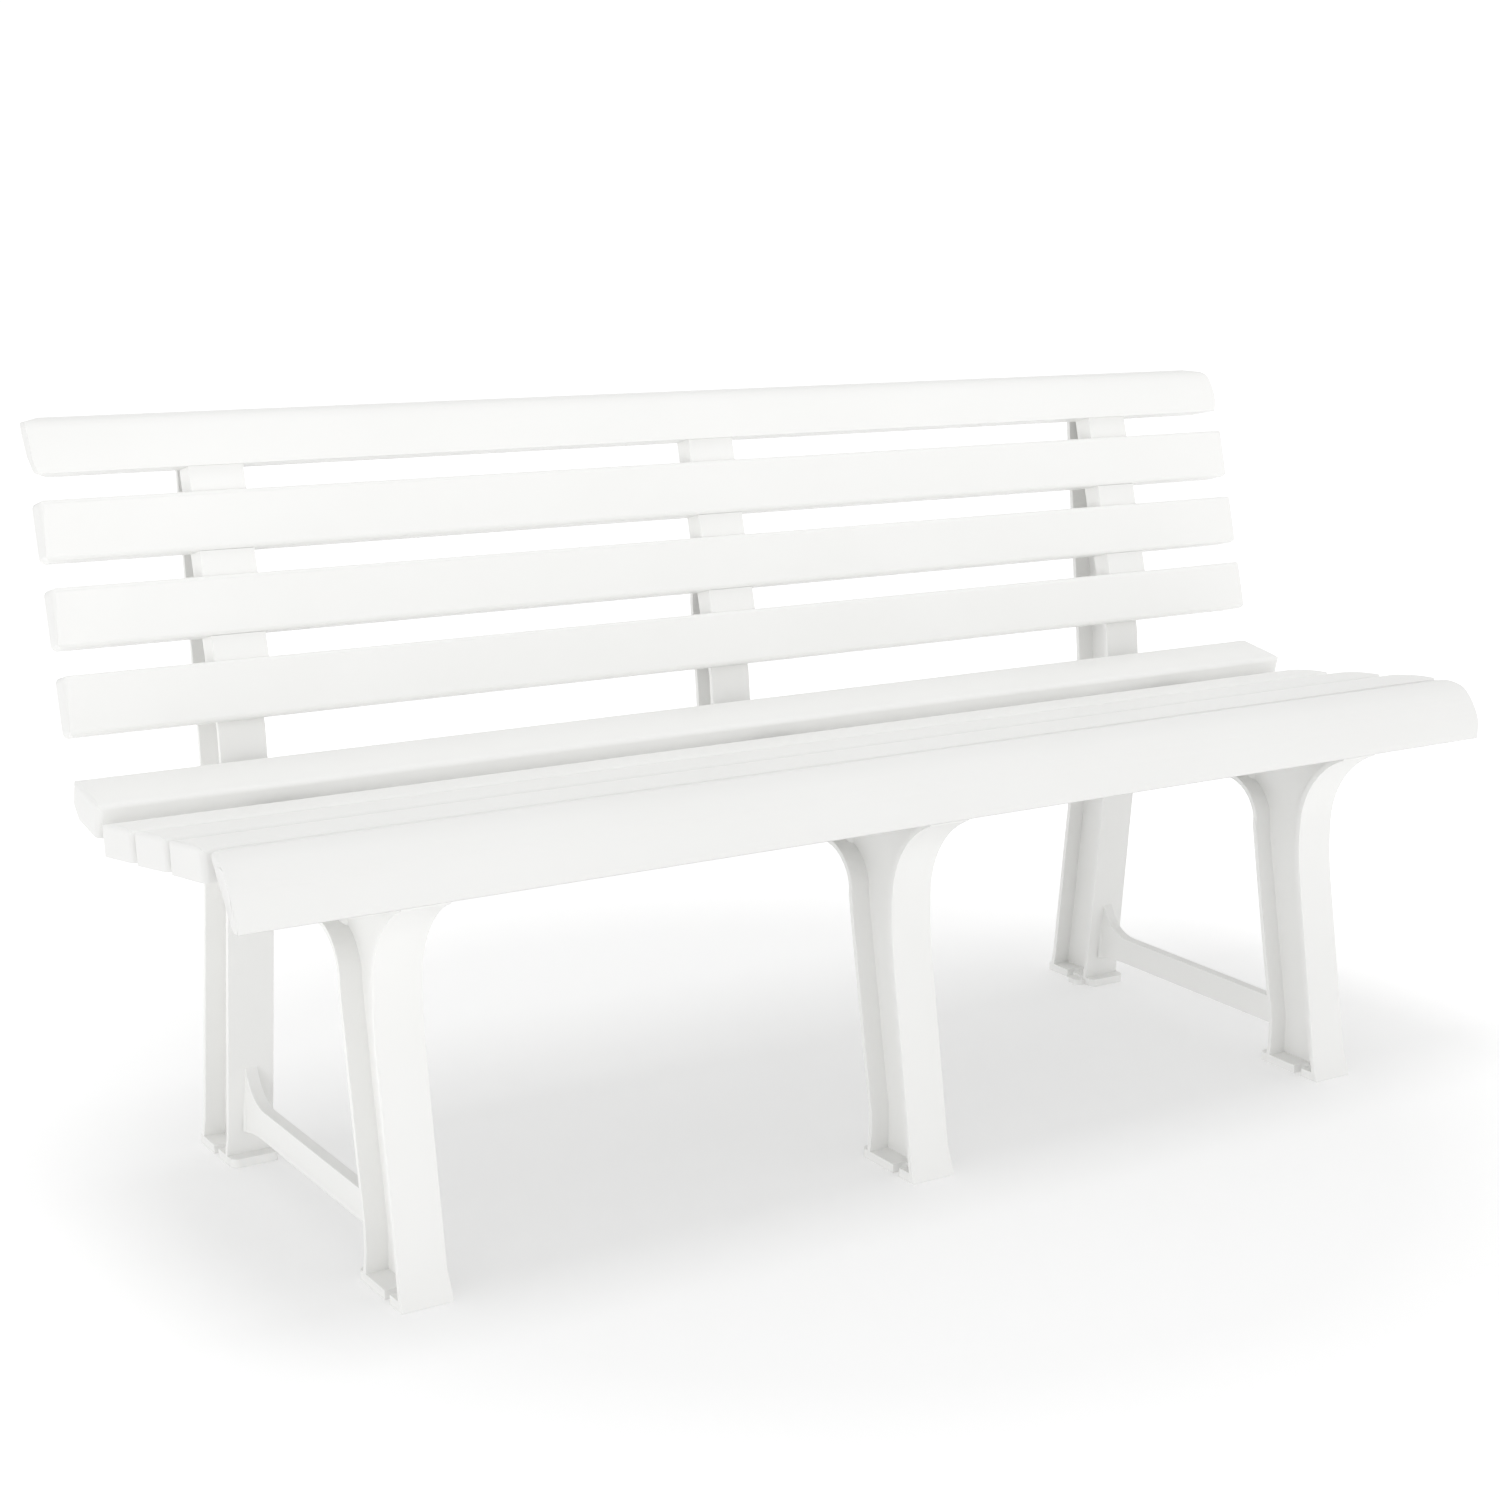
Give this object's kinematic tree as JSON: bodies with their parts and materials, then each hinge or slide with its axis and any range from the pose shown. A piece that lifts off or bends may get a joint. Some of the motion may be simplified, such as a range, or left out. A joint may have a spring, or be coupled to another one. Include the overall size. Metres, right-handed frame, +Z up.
{
  "type": "garden bench",
  "caption": "Long resin garden bench with slatted back and seat on moulded H-section frames, with curved front legs and a middle support.",
  "frame": {"origin": "on the ground under the middle of the bench: the centre of the bounding box's underside", "axes": "+X along the bench, to the right when it is seen from the front; +Y from the front edge to the back; +Z up"},
  "size_m": [1.455, 0.492, 0.7283],
  "materials": {
    "frame_resin": "satin moulded resin, white",
    "slat_resin": "satin moulded resin, white",
    "screw_steel": "zinc-plated steel"
  },
  "bodies": {
    "root": {"left_frame": "frame_resin", "middle_frame": "frame_resin", "right_frame": "frame_resin", "back_top_rail": "slat_resin", "back_slat_upper": "slat_resin", "back_slat_middle": "slat_resin", "back_slat_lower": "slat_resin", "seat_slat_rear": "slat_resin", "seat_slat_second": "slat_resin", "seat_slat_middle": "slat_resin", "seat_slat_fourth": "slat_resin", "seat_front_rail": "slat_resin", "top_rail_screws": "screw_steel", "upper_slat_screws": "screw_steel", "middle_slat_screws": "screw_steel", "lower_slat_screws": "screw_steel", "rear_slat_screws": "screw_steel", "second_slat_screws": "screw_steel", "seat_middle_screws": "screw_steel", "fourth_slat_screws": "screw_steel", "front_rail_screws": "screw_steel"}
  },
  "joints": []
}
